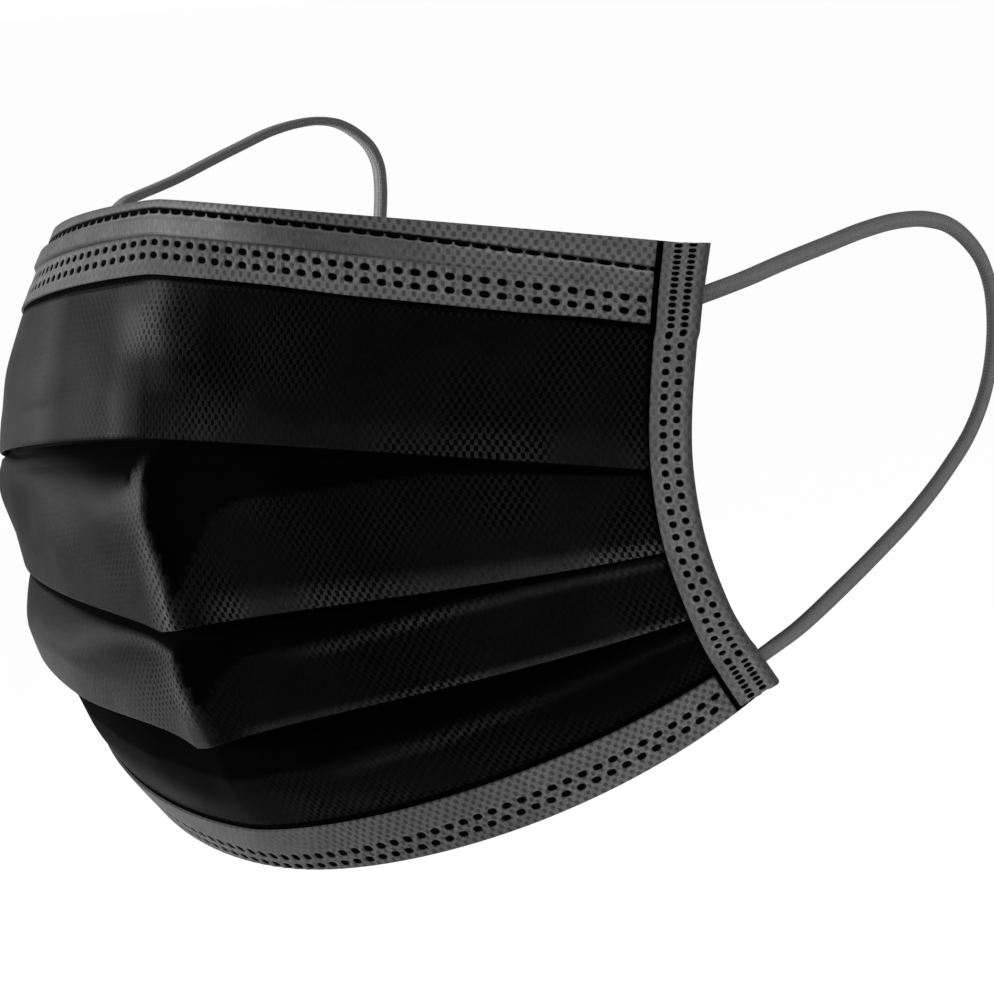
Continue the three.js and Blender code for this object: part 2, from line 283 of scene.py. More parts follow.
def closedShell(name, rings, innerCount, tags):
    # joins rings of points, (station, point, xyz), into one closed piece, with each ring's tags
    rings = np.array(rings)
    stations, count, _ = rings.shape
    grid = np.arange(stations * count).reshape(stations, count)
    turned = np.roll(grid, -1, 1)
    sides = np.stack([grid[:-1], turned[:-1], turned[1:], grid[1:]], -1).reshape(-1, 4)
    cap = capFaces(count - innerCount, innerCount)
    lastRing = (stations - 1) * count
    faces = sides.tolist() + [(c, b, a) for a, b, c in cap]
    faces += [(a + lastRing, b + lastRing, c + lastRing) for a, b, c in cap]
    points = rings.reshape(-1, 3)
    corners = [points[sides[:, k]] for k in range(4)]
    volume = sum(np.sum(corners[0] * np.cross(corners[k], corners[k + 1])) for k in (1, 2))
    if volume < 0:  # inside out
        faces = [tuple(reversed(face)) for face in faces]
    mesh = bpy.data.meshes.new(name)
    mesh.from_pydata(points.tolist(), [], faces)
    for tag in tags[0]:
        attribute = mesh.attributes.new(tag, "FLOAT_VECTOR", "POINT")
        values = np.array([row[tag] for row in tags], np.float32)
        attribute.data.foreach_set("vector", values.reshape(-1))
    piece = bpy.data.objects.new(name, mesh)
    bpy.context.collection.objects.link(piece)
    return piece


def finishPiece(piece, node, sharpAngle=55):
    piece.data.shade_smooth()
    piece.data.set_sharp_from_angle(angle=radians(sharpAngle))
    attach(piece, "root")
    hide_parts(node)


def everyFew(step, count):
    # keeps the first and last point, and every few between them, on a shell's inner side
    return np.unique(np.append(np.arange(0, count, step), count - 1))


def squarer(wave, power):
    # a sine or cosine with its round crests made flat, for a rounded oblong
    return np.sign(wave) * abs(wave) ** power


def evenStops(start, end, step):
    return np.linspace(start, end, max(1, ceil((end - start) / step)) + 1)[1:]


def stopsBack(start, length, step):
    return np.array([start, *(start - evenStops(0, length, step))])


def halfTurn(down, out, radius, start, end, steps):
    angles = np.radians(np.linspace(start, end, steps + 1))
    return [(down + radius * cos(a), out + radius * sin(a)) for a in angles]


def straight(line, down, out, steps):
    # carries a line on to (down, out)
    fromDown, fromOut = line[-1]
    for t in np.linspace(0, 1, steps + 1)[1:]:
        line.append((fromDown + (down - fromDown) * t, fromOut + (out - fromOut) * t))


# Ear loops

elastic = {
    "width": 0.0026,
    "thickness": 0.0015,
    "weldedWidth": 0.0030,  # where the end is pressed flat on the binding
    "weldedThickness": 0.0007,
    "weldLength": 0.0056,
    "lean": 0.1,  # the loops' planes lean in towards the back
    "step": 0.0008,
    "sides": 20,
    "squareness": 0.55,
    "turnLength": 0.022,  # over which a band that stands on edge turns up
    "swelling": (-0.001, 0.003),  # where the band comes to its own thickness, past the weld's end
    "behind": 0.00255,  # the welded ends lie this far behind the sheet
}
leftLoop = {  # free points, and each end's weld as (in from the side edge, down the cloth)
    "node": "ear_loop_left",
    "side": 1,
    "onEdge": False,
    "upperWeld": [(0.0072, 0.0125), (0.0052, 0.0116), (0.0032, 0.0106), (0.0012, 0.0096)],
    "lowerWeld": [(0.0010, 0.0781), (0.0024, 0.0788), (0.0040, 0.0795)],
    "free": [
        (0.0668, 0.0570, -0.0125), (0.0658, 0.0687, -0.0105), (0.0647, 0.0805, -0.0087),
        (0.0636, 0.0915, -0.0071), (0.0627, 0.1003, -0.0064), (0.0618, 0.1095, -0.0068),
        (0.0611, 0.1159, -0.0083), (0.0606, 0.1207, -0.0109), (0.0603, 0.1244, -0.0144),
        (0.0601, 0.1265, -0.0188), (0.0600, 0.1270, -0.0242), (0.0601, 0.1259, -0.0302),
        (0.0604, 0.1232, -0.0360), (0.0608, 0.1186, -0.0416), (0.0614, 0.1112, -0.0472),
        (0.0625, 0.1015, -0.0527), (0.0638, 0.0896, -0.0581), (0.0653, 0.0776, -0.0629),
        (0.0665, 0.0665, -0.0671),
    ],
}
rightLoop = {
    "node": "ear_loop_right",
    "side": -1,
    "onEdge": True,
    "upperWeld": [(0.0052, 0.0150), (0.0044, 0.0120), (0.0036, 0.0092), (0.0029, 0.0066)],
    "lowerWeld": [(0.0010, 0.0781), (0.0024, 0.0788), (0.0040, 0.0795)],
    "free": [
        (-0.0642, 0.0508, -0.0042), (-0.0648, 0.0503, -0.0014), (-0.0651, 0.0509, 0.0008),
        (-0.0652, 0.0532, 0.0026), (-0.0652, 0.0567, 0.0036), (-0.0651, 0.0605, 0.0045),
        (-0.0648, 0.0643, 0.0055), (-0.0643, 0.0719, 0.0079),
        (-0.0640, 0.0799, 0.0103), (-0.0636, 0.0878, 0.0125), (-0.0632, 0.0929, 0.0133),
        (-0.0627, 0.0979, 0.0135), (-0.0623, 0.1024, 0.0127), (-0.0620, 0.1062, 0.0108),
        (-0.0617, 0.1091, 0.0083), (-0.0616, 0.1108, 0.0050), (-0.0616, 0.1111, 0.0015),
        (-0.0616, 0.1106, -0.0031), (-0.0617, 0.1089, -0.0110), (-0.0620, 0.1052, -0.0220),
        (-0.0624, 0.1000, -0.0323), (-0.0630, 0.0928, -0.0414), (-0.0640, 0.0840, -0.0504),
        (-0.0655, 0.0740, -0.0588), (-0.0670, 0.0650, -0.0660),
    ],
}


def smoothLine(points, step):
    # the smooth curve through a row of points, at even steps
    points = np.array(points)
    chords = np.diff(points, axis=0)
    slopes = np.concatenate([
        chords[:1] / lengthOf(chords[:1]),
        slopeBetween(chords[:-1], chords[1:]),
        chords[-1:] / lengthOf(chords[-1:]),
    ])
    t = np.linspace(0, 1, 24, endpoint=False)[:, None]
    dense = []
    for start, chord, slopeIn, slopeOut in zip(points, chords, slopes, slopes[1:]):
        long = np.linalg.norm(chord)
        dense.append(start + chord * t + bentCourse(chord, long, slopeIn, slopeOut, t))
    dense = np.concatenate([*dense, points[-1:]])
    arc = runAlong(dense)
    even = np.linspace(0, arc[-1], ceil(arc[-1] / step) + 1)
    return np.stack([np.interp(even, arc, dense[:, k]) for k in range(3)], -1), even


def weldedEnd(side, places, behind=elastic["behind"]):
    # points along the back of the binding
    return [onCloth(side * (1 - inward / halfArc), down, -behind) for inward, down in places]


def inwardNormal(side, place):
    # towards the face, at a place on the binding
    (near,), (far,) = (weldedEnd(side, [place], behind) for behind in (0.001, 0.002))
    return (far - near) / np.linalg.norm(far - near)


def buildEarLoop(name, loop):
    side = loop["side"]
    points = weldedEnd(side, loop["upperWeld"]) + [np.array(p) for p in loop["free"]]
    points += weldedEnd(side, loop["lowerWeld"][::-1])[::-1]
    line, arc = smoothLine(points, elastic["step"])
    long = arc[-1]
    tangent = np.gradient(line, axis=0)
    tangent /= lengthOf(tangent)
    weld = elastic["weldLength"]
    fromEnd = np.minimum(arc, long - arc)
    settled = ease(weld, weld + elastic["turnLength"], fromEnd)[:, None]
    plane = np.array([side, elastic["lean"], 0.0]) / np.hypot(1, elastic["lean"])
    upper, lower = (-inwardNormal(side, loop[key][0]) for key in ("upperWeld", "lowerWeld"))
    welded = np.where((arc < long / 2)[:, None], upper, lower)
    facing = welded + (plane - welded) * settled
    flat = np.cross(tangent, facing)
    flat /= lengthOf(flat)
    thin = np.cross(flat, tangent)
    free = ease(*(weld + past for past in elastic["swelling"]), fromEnd)[:, None]
    turn = settled * (pi / 2 if loop["onEdge"] else 0)
    wide = flat * np.cos(turn) + thin * np.sin(turn)
    deep = thin * np.cos(turn) - flat * np.sin(turn)
    width = elastic["weldedWidth"] + (elastic["width"] - elastic["weldedWidth"]) * free
    thickness = elastic["weldedThickness"] + (elastic["thickness"] - elastic["weldedThickness"]) * free
    around = np.linspace(0, 2 * pi, elastic["sides"], endpoint=False) + pi / elastic["sides"]
    squared = [squarer(wave(around), elastic["squareness"]) for wave in (np.cos, np.sin)]
    rings = line[:, None] + wide[:, None] * (width / 2 * squared[0])[..., None]
    rings = rings + deep[:, None] * (thickness / 2 * squared[1])[..., None]
    girth = 2 * (elastic["width"] + elastic["thickness"])
    narrow = abs(squared[0]) ** 6  # 1 on the band's narrow sides, which are painted darker as shade
    tags = [{"lay": tagOf(run, around / (2 * pi) * girth, narrow)} for run in arc]
    piece = closedShell(name, rings, elastic["sides"] // 2, tags)
    finishPiece(piece, loop["node"], 60)
    return piece


earLoopLeft = buildEarLoop("earLoopLeft", leftLoop)
earLoopRight = buildEarLoop("earLoopRight", rightLoop)
print("ear loops made")


# Pressed welds: dots and dashes sunk into the cloth along the hems and bindings

weldShape = {
    "shortest": 0.00084,  # a dot's least length
    "roundness": 2.4,
    "dashShift": 0.3,  # in pitches
    "pressed": (-0.00012, 0.00016),  # the weld's rim and the swelling round it, outside a dot's edge
    "swollen": (-0.0001, 0.0008),
}


def nearestWeld(guide, sizes):
    # how far outside the nearest dot or dash a point lies, in metres
    beat, pitch, row = guide
    power = weldShape["roundness"]

    def outside(rowPlace, shift, share, width):
        share = (pitch.math("POWER", -1.0) * weldShape["shortest"]).math("MAXIMUM", share)
        beside = ((beat + shift).math("FRACT") - 0.5).math("ABSOLUTE") / (share * 0.5)
        above = (row - rowPlace).math("ABSOLUTE") / (width * 0.5)
        rounded = (beside.math("POWER", power) + above.math("POWER", power)).math("POWER", 1 / power)
        return (rounded - 1) * (width * 0.5)

    first = outside(sizes["Row A"], 0.0, sizes["Dot Share"], sizes["Dot Width"])
    second = outside(sizes["Row B"], sizes["Stagger"], sizes["Dot Share"], sizes["Dot Width"])
    dash = outside(sizes["Dash Row"], weldShape["dashShift"], sizes["Dash Share"], sizes["Dash Width"])
    return first.math("MINIMUM", second).math("MINIMUM", dash)


def weldTree():
    tree = bpy.data.node_groups.new("pressedWelds", "GeometryNodeTree")
    face = tree.interface
    face.new_socket("Cloth", in_out="INPUT", socket_type="NodeSocketGeometry")
    for name in weldInputs:
        face.new_socket(name, in_out="INPUT", socket_type="NodeSocketFloat")
    face.new_socket("Finish", in_out="INPUT", socket_type="NodeSocketMaterial")
    face.new_socket("Cloth", in_out="OUTPUT", socket_type="NodeSocketGeometry")
    entry = tree.nodes.new("NodeGroupInput")
    given = {socket.name: Port(tree, socket) for socket in entry.outputs if socket.name}

    settings = {"data_type": "FLOAT_VECTOR"}
    guide = newNode(tree, "GeometryNodeInputNamedAttribute", settings, {"Name": "weldGuide"})
    outside = nearestWeld(separated(guide), given)
    weld = 1 - outside.smooth(*weldShape["pressed"])
    pillow = 1 - outside.smooth(*weldShape["swollen"])
    sink = weld * given["Depth"] + pillow * given["Puff"]
    normal = newNode(tree, "GeometryNodeInputNormal")
    offset = newNode(tree, "ShaderNodeVectorMath", {"operation": "SCALE"}, {0: normal, "Scale": sink * -1})
    sunk = newNode(tree, "GeometryNodeSetPosition", inputs={"Geometry": given["Cloth"], "Offset": offset})
    real = newNode(tree, "GeometryNodeRealizeInstances", inputs={"Geometry": sunk})
    dressed = newNode(tree, "GeometryNodeSetMaterial", inputs={"Geometry": real, "Material": given["Finish"]})
    leave = tree.nodes.new("NodeGroupOutput")
    tree.links.new(dressed.socket, leave.inputs[0])
    return tree


weldInputs = ("Row A", "Row B", "Stagger", "Dot Share", "Dot Width", "Dash Row", "Dash Share",
              "Dash Width", "Depth", "Puff")
pressedWelds = weldTree()


def pressWelds(piece, sizes, finish):
    # runs the tree on a piece and keeps the result as its plain mesh
    modifier = piece.modifiers.new("welds", "NODES")
    modifier.node_group = pressedWelds
    values = {**sizes, "Finish": finish}
    for item in pressedWelds.interface.items_tree:
        if item.in_out == "INPUT" and item.name in values:
            modifier[item.identifier] = values[item.name]
    evaluated = piece.evaluated_get(bpy.context.evaluated_depsgraph_get())
    mesh = bpy.data.meshes.new_from_object(evaluated)
    piece.modifiers.remove(modifier)
    piece.data = mesh


# Finishes

def noise(place, scale, detail=2.0):
    inputs = {"Vector": place, "Scale": scale, "Detail": detail}
    return newNode(place.tree, "ShaderNodeTexNoise", inputs=inputs)


def plainShader(tree, colour, roughness, gloss, **inputs):
    inputs = {"Base Color": colour, "Roughness": roughness, "Specular IOR Level": gloss, **inputs}
    return newNode(tree, "ShaderNodeBsdfPrincipled", inputs=inputs)


def greyShader(shade, relief, roughness, gloss=0.5):
    # a grey surface with fine relief, whose height is in metres
    tree = shade.tree
    colour = newNode(tree, "ShaderNodeCombineColor", inputs={0: shade, 1: shade, 2: shade})
    bump = newNode(tree, "ShaderNodeBump", inputs={"Strength": 1.0, "Distance": 1.0, "Height": relief})
    return plainShader(tree, colour, roughness, gloss, Normal=bump)


def showSurface(shader):
    surface = shader.tree.nodes.new("ShaderNodeOutputMaterial")
    shader.tree.links.new(shader.socket, surface.inputs["Surface"])


def newFinish(name):
    material = bpy.data.materials.new(name)
    material.use_nodes = True
    material.node_tree.nodes.clear()
    return material, material.node_tree


def attributePort(tree, name):
    return newNode(tree, "ShaderNodeAttribute", {"attribute_name": name}, output="Vector")


spunbond = {  # what the black and the grey cloth share; the scales of its noises are waves a metre
    "fibres": (2600, 900, 1),
    "clouds": 160.0,
    "patches": 38.0,
    "scatter": 1.6,  # how much the fibres break up the lattice
    "sidewaysDrift": 0.7,
    "openCheek": (0.003, 0.012),  # where its gaps widen, on the left cheek
    "wornCheek": (-0.017, -0.006),  # where it is worn off, on the right one
    "wornTo": 0.2,
    "meanBond": 0.4,  # the lattice's mean, which stretched cloth shows all over
    "panelTone": (0.6, 0.8, 1.6),  # painted shade: a panel's tone at its top, under the fold above, what its foot adds, and how late
    "wornPatch": (0.38, 0.62),  # the painted light is paler in patches and along the fibres
    "patchPale": (1.1, 0.45),
    "fibrePale": (1.4, 0.3),
    "bondDark": 0.9,
    "seamDark": 0.97,
    "weldDark": 0.98,
    "weldEdge": (-0.00006, 0.00008),
    "rimStart": (0.00008, 0.00025),
    "rimEnd": (0.00030, 0.00075),
    "pressedRoughness": 0.9,
    "pressedGloss": 0.004,
}


def clothFinish(name, look, welds=None):
    # spunbond cloth: a diamond lattice of bonded points between fine laid fibres, and black welds, with
    # painted shadow, shade and light carried by the pieces' attributes
    material, tree = newFinish(name)
    lay = attributePort(tree, "lay")
    along, down, seam = separated(lay)
    streak = newNode(tree, "ShaderNodeMapping", inputs={"Vector": lay, "Scale": spunbond["fibres"]})
    fibre = noise(streak, 1.0, 3.0)
    cloud = noise(lay, spunbond["clouds"])
    patch = noise(lay, spunbond["patches"], 1.0)
    wave = 2 * pi / look["latticePitch"]
    drift = (cloud - 0.5) * look["latticeDrift"]
    rows = ((down + drift) * (wave * look["latticeSquash"])).math("COSINE")
    columns = ((along + drift * spunbond["sidewaysDrift"]) * wave).math("COSINE")
    near = along.smooth(*spunbond["openCheek"]) * look["openness"]
    lattice = columns * rows + (fibre - 0.5) * spunbond["scatter"] + near
    bond = lattice.smooth(*look["bondEdge"]) * patch.smooth(*look["fading"])
    tone = 1 + (fibre - 0.5) * look["fibreTone"] + (cloud - 0.5) * look["cloudTone"]
    tone = tone * (1 + (patch - 0.5) * look["patchTone"])
    if welds:
        guide = separated(attributePort(tree, "weldGuide"))
        # how taut the hem is, the painted light and shade along it, and lines of painted shade
        taut, toneAndLight, line = separated(attributePort(tree, "strain"))
        bond = bond + (spunbond["meanBond"] - bond) * taut
        outside = nearestWeld(guide, welds)
        # a painted highlight on the swelling round each weld
        rimHighlight = outside.smooth(*spunbond["rimStart"]) * (1 - outside.smooth(*spunbond["rimEnd"]))
        dark = (1 - outside.smooth(*spunbond["weldEdge"])).math("MAXIMUM", line)
        tone = tone * (1 + rimHighlight * look["rimHighlight"]) * toneAndLight * (1 - dark * spunbond["weldDark"])
    else:
        # painted shadow under the folds and painted shade beside them (black), and painted light
        # (paintedLightAmount)
        place, black, paintedLightAmount = separated(attributePort(tree, "panel"))
        # painted shade, darker at the top of a panel under the fold above
        top, foot, late = spunbond["panelTone"]
        tone = tone * (top + foot * place.math("POWER", late))
        dark = black.math("MAXIMUM", seam)
        left = along.smooth(*spunbond["wornCheek"])
        bond = bond * (spunbond["wornTo"] + (1 - spunbond["wornTo"]) * left)
    dark = dark.math("MAXIMUM", bond * (near + look["hole"]))
    tone = tone * (1 + (spunbond["meanBond"] - bond) * look["bondTone"])
    # the seam channel holds the black lines along the hems, and painted shade beside the bindings, in the
    # hem's crease and on the bindings' outer edge
    shade = (tone * (1 - seam * spunbond["seamDark"])).math("MAXIMUM", 0.0) * look["shade"]
    # painted highlights and painted light, broken up in patches and along the fibres
    if not welds:
        worn, least = spunbond["patchPale"]
        streaks, between = spunbond["fibrePale"]
        pale = (patch.smooth(*spunbond["wornPatch"]) * worn + least) * (fibre * streaks + between)
        shade = shade + paintedLightAmount * pale * (1 - bond * spunbond["bondDark"])
    relief = bond * -look["bondDepth"] + fibre * look["fibreDepth"] + cloud * look["cloudDepth"]
    cloth = greyShader(shade, relief, look["roughness"], look["gloss"])
    black = (look["pressed"],) * 3 + (1,)
    pressed = plainShader(tree, black, spunbond["pressedRoughness"], spunbond["pressedGloss"])
    # the mix towards pressed black makes the welds and the lattice's holes, and the painted shadow and shade
    showSurface(newNode(tree, "ShaderNodeMixShader", inputs={0: dark, 1: cloth, 2: pressed}))
    return material


blackCloth = clothFinish("blackNonwoven", {
    "shade": 0.0030, "pressed": 0.0003, "roughness": 0.48, "gloss": 0.0165,
    "latticePitch": 0.00126, "latticeSquash": 0.68, "latticeDrift": 0.0009, "bondEdge": (0.2, 0.6),
    "bondTone": 1.5, "fibreTone": 1.8, "cloudTone": 1.4, "patchTone": 3.0, "fading": (0.36, 0.56),
    "hole": 0.55, "openness": 0.35, "rimHighlight": 0.0,
    "bondDepth": 0.00005, "fibreDepth": 0.00005, "cloudDepth": 0.00006,
})
greyLook = {
    "shade": 0.074, "pressed": 0.0009, "roughness": 0.8, "gloss": 0.04,
    "latticePitch": 0.0015, "latticeSquash": 0.68, "latticeDrift": 0.0011, "bondEdge": (-0.1, 0.6),
    "bondTone": 0.62, "fibreTone": 1.1, "cloudTone": 0.6, "patchTone": 0.3, "fading": (0.0, 0.2),
    "hole": 0.1, "openness": 0.0, "rimHighlight": 0.2,
    "bondDepth": 0.00005, "fibreDepth": 0.00004, "cloudDepth": 0.00005,
}
bindingLook = {**greyLook, "bondTone": 0.3, "hole": 0.0, "rimHighlight": 0.35, "bondDepth": 0.00003}


elasticLook = {
    "shade": 0.104, "roughness": 0.75, "gloss": 0.15, "paintedEdgeShade": 0.35,
    "walePitch": 0.00052, "waleTone": 0.05, "waleDepth": 0.00004,
    "coursePitch": 0.00062, "courseTone": 0.06, "courseDepth": 0.00003, "slant": 1.2,
    "fuzz": 900.0, "fuzzTone": 0.5, "fuzzDepth": 0.00003,
}
wireLook = {"shade": 0.3, "roughness": 0.45, "mottle": 700.0, "mottleTone": 0.06, "mottleDepth": 0.00002}


def elasticFinish():
    # knitted elastic: fine courses of stitches across the band, in wales along it
    look = elasticLook
    material, tree = newFinish("knittedElastic")
    lay = attributePort(tree, "lay")
    along, around, edge = separated(lay)
    wales = (around * (2 * pi / look["walePitch"])).math("COSINE")
    courses = (along * (2 * pi / look["coursePitch"]) + wales * look["slant"]).math("COSINE")
    fuzz = noise(lay, look["fuzz"])
    tone = courses * look["courseTone"] + wales * look["waleTone"] + (fuzz - 0.5) * look["fuzzTone"] + 1.0
    # its narrow sides are painted darker, as shade
    shade = tone * (1 - edge * look["paintedEdgeShade"]) * look["shade"]
    relief = courses * look["courseDepth"] + wales * look["waleDepth"] + fuzz * look["fuzzDepth"]
    showSurface(greyShader(shade, relief, look["roughness"], look["gloss"]))
    return material


def wireFinish():
    # flat steel wire in a thin pale plastic coat
    material, tree = newFinish("coatedWire")
    mottle = noise(newNode(tree, "ShaderNodeTexCoord", output="Object"), wireLook["mottle"])
    shade = mottle * wireLook["mottleTone"] + wireLook["shade"]
    showSurface(greyShader(shade, mottle * wireLook["mottleDepth"], wireLook["roughness"]))
    return material


knittedElastic = elasticFinish()
coatedWire = wireFinish()
for loop in (earLoopLeft, earLoopRight):
    loop.data.materials.append(knittedElastic)
print("finishes made")


# Sizes of the side bindings, which the other pieces end under

binding = {
    "wall": 0.0004,
    "width": 0.0076,
    "turnDepth": 0.0009,
    "turnInset": 0.0002,
    "turnSteps": 12,
    "overHem": (0.00118, -0.00118),  # middle of the front and the back leg, out from the sheet
    "overCloth": (0.00052, -0.0017),
    "hemClearance": 0.0003,
    "ease": 0.0016,
    "overhang": (-0.0004, 0.0),
    "cutSlant": 0.55,  # of the cut at the top, through the layers and across the binding
    "cutRise": 0.0007,
    "cutDrop": 0.0005,
    "cutReach": (0.010, 0.0),
    "footSlant": 0.6,  # share of the lower edge's slope that the rows of dots take up
    "footReach": (0.4, 0.95),
    "pitch": 0.0019,
    "densePitch": 0.0012,
    "denseReach": (0.0165, 0.0092),  # from the top and from the bottom, where an ear loop is welded on
    # painted shade on the turned outer edge, and where it reaches
    "paintedEdgeShade": 0.5,
    "edgeReach": (0.0016, 0.0006),
    "toneAndLight": 1.1,
    "step": 0.00021,
    "fine": 0.00024,
}
bindingWelds = {  # rows in from the side edge
    "Row A": 0.0053, "Row B": 0.0030, "Stagger": 0.2, "Dot Share": 0.51, "Dot Width": 0.00122,
    "Dash Row": -5.0, "Dash Share": 0.8, "Dash Width": 0.0008, "Depth": 0.00014, "Puff": 0.00008,
}


# Mask body: one sheet of cloth, folded back on itself twice at each pleat

cloth = {
    "wall": 0.00036,
    "turn": 0.0002,  # radius of the cloth's middle round a fold
    "edgeInset": 0.0012,
    "endInset": 0.0016,
    "foldEase": 0.0008,
    "chinEase": 0.001,
    "lip": 0.0004,  # how far a fold's front runs straight down to its edge
    "heel": 0.0006,  # and its back straight up to its upper turn
    "gap": (0.0006, 0.0009),  # behind a fold's front layer: at the side, and more in the middle
    "backGap": (0.0004, 0.0003),  # and behind its second layer
    "backShare": 0.3,  # of a fold's opening that its last layer closes again
    "ridgeSink": 0.55,  # how far a creased panel sinks beside its crease
    "crestClearance": 0.0012,
    "firstFoldEnd": (-0.062, -0.045),  # where the first fold closes, on the right of the face
    "centreReach": 0.008,  # of the crease to either side
    "step": 0.0011,
    "steps": dict(topFlap=14, panel=26, lip=6, turn=6, back=7, under=8, chin=18, bottomFlap=12),
}
pleats = [  # crest is the level of a fold's edge, fold its depth, open its gap in the middle; ridge is
    # how far the panel above it is creased along the centre, rise the share of it over which the crease
    # comes up, lean where that crease starts and ends, and slack how far the panel stands off on its
    # right, where that starts and ends across, and where down it rises and falls
    dict(crest="upperPleat", fold=0.0050, open=0.0030, ridge=0.0010, rise=0.5, lean=(0.0, 0.0), slack=None),
    dict(crest="midPleat", fold=0.0050, open=0.0022, ridge=0.0026, rise=0.15, lean=(-0.0003, 0.0034),
         slack=(0.0010, (-0.040, -0.055), (-0.086, -0.068), (0.0, 0.1), (0.4, 1.2))),
    dict(crest="lowerPleat", fold=0.0050, open=0.0044, ridge=0.0024, rise=0.15, lean=(0.0008, 0.0027),
         slack=(0.0025, (-0.004, -0.034), (-0.072, -0.053), (0.1, 0.9), (2.0, 3.0))),
]
panels = [  # at places beside the crease: the share of a panel that is painted black as the shadow under a fold, how much painted shade darkens the rest, and how softly the painted shadow ends
    # rest is, and how softly the black ends
    dict(black=[(0.0, 0.0)],
         paintedShade=[(-0.06, 0.15), (-0.03, 0.1), (-0.022, 0.58), (-0.009, 0.47), (-0.004, 0.0), (0.009, 0.0),
               (0.013, 0.68), (0.03, 0.7), (0.045, 0.62), (0.07, 0.5)]),
    dict(blur=[(-0.06, 0.2), (-0.045, 0.45), (-0.032, 0.5), (-0.022, 0.44), (-0.012, 0.36),
               (-0.006, 0.2), (-0.004, 0.06)],
         black=[(-0.06, 0.02), (-0.045, 0.09), (-0.032, 0.21), (-0.022, 0.26), (-0.012, 0.29), (-0.006, 0.26),
                (-0.004, 0.25), (-0.002, 0.1), (0.0, 0.1),
                (0.0016, 0.85), (0.005, 0.72), (0.012, 0.43), (0.017, 0.35), (0.03, 0.3), (0.05, 0.16),
                (0.09, 0.08)],
         paintedShade=[(-0.06, 0.3), (-0.03, 0.3), (-0.006, 0.25), (-0.0035, 0.0), (0.0, 0.0), (0.003, 0.72),
               (0.035, 0.82), (0.06, 0.45)]),
    dict(black=[(-0.09, 0.2), (-0.05, 0.19), (-0.03, 0.18), (-0.002, 0.19), (0.0, 0.19), (0.002, 0.72),
                (0.006, 0.5), (0.012, 0.36), (0.03, 0.3), (0.045, 0.2), (0.06, 0.12), (0.09, 0.06)],
         paintedShade=[(-0.006, 0.05), (-0.0035, 0.0), (0.0, 0.0), (0.003, 0.74), (0.035, 0.85), (0.06, 0.5)]),
    dict(blur=[(0.0, 0.18)],
         black=[(-0.09, 0.42), (-0.03, 0.5), (-0.003, 0.5), (0.02, 0.46), (0.05, 0.36), (0.065, 0.26),
                (0.09, 0.14)],
         paintedShade=[(-0.09, 0.88), (-0.01, 0.9), (0.0, 0.82), (0.03, 0.78), (0.06, 0.86)]),
]
plainBlur = [(0.0, 0.06)]
blurAbove, blurBelow = 0.42, 0.58  # shares of the blur, to either side of where the painted shadow ends
paintedLights = {  # painted highlights and painted light, for each panel, and where beside the crease or down the panel
    "leftEdge": (0.004, 0.012),
    "crease": (0.0, 0.035, 0.030, 0.0), "creaseWidth": 0.0028, "creaseEdge": (0.0004, -0.0008),
    "creaseReach": (0.1, 0.8),
    "foot": (0.010, 0.055, 0.065, 0.0),
    "footReach": ((0.70, 0.95), (0.80, 0.95), (0.90, 0.97), (0.9, 1.0)),
    "head": (0.0, 0.0, 0.04, 0.035), "headDrop": 0.07, "headWidth": 0.045, "headEdge": (0.014, 0.030),
    "chin": (0.0, 0.0, 0.0, 0.011), "chinReach": (0.45, 0.95),
    "cheek": 0.0035,
    "far": (0.0, 0.0, 0.005, 0.0), "farEdge": (-0.002, -0.006), "farReach": (0.3, 0.6),
    "brow": (0.035, 0.0, 0.0, 0.0), "browPlace": 0.0015, "browWidth": 0.003, "browReach": (0.45, 0.1),
}
bulge = {"arc": 0.007, "down": 0.025, "wide": 0.0055, "high": 0.012, "height": 0.0013}  # in the top panel
softWaves = [  # slow unevenness of the cloth: waves a metre, where they start, and their height
    dict(across=19, down=9, start=0.4, height=0.00022),
    dict(across=34, down=-17, start=2.1, height=0.00018),
    dict(across=-47, down=41, start=4.0, height=0.00010),
    dict(across=8, down=63, start=1.2, height=0.00012),
    dict(across=83, down=12, start=5.1, height=0.00005),
]
seamWidth = 0.0010  # of the black line along the top hem
chinWidth = 0.0018  # and along the bottom hem
seamSoftness = 0.7  # share of its width at which it is fully black
bindingGap = 0.0003  # of the black line beside each binding, painted shade in the gap there


def softness(arc, down):
    total = 0.0
    for wave in softWaves:
        angle = 2 * pi * (wave["across"] * arc + wave["down"] * down) + wave["start"]
        total = total + wave["height"] * np.sin(angle)
    beside, below = (arc - bulge["arc"]) / bulge["wide"], (down - bulge["down"]) / bulge["high"]
    return total + bulge["height"] * np.exp(-beside ** 2 - below ** 2)


def creasePlace(pleat, t):
    start, end = pleat["lean"]
    return start + (end - start) * ease(0.3, 1.0, t)


def slackness(pleat, arc, t):
    if pleat["slack"] is None:
        return 0.0
    height, start, end, rise, fall = pleat["slack"]
    sideways = ease(*start, arc) * ease(*end, arc)
    return height * sideways * ease(*rise, t) * (1 - ease(*fall, t))


def deepening(t):
    # how a panel comes out from under the fold above it: 1 at its top, 0 at its foot
    return 0.3 * (1 - t) ** 1.2 + 0.7 * (1 - t) ** 7


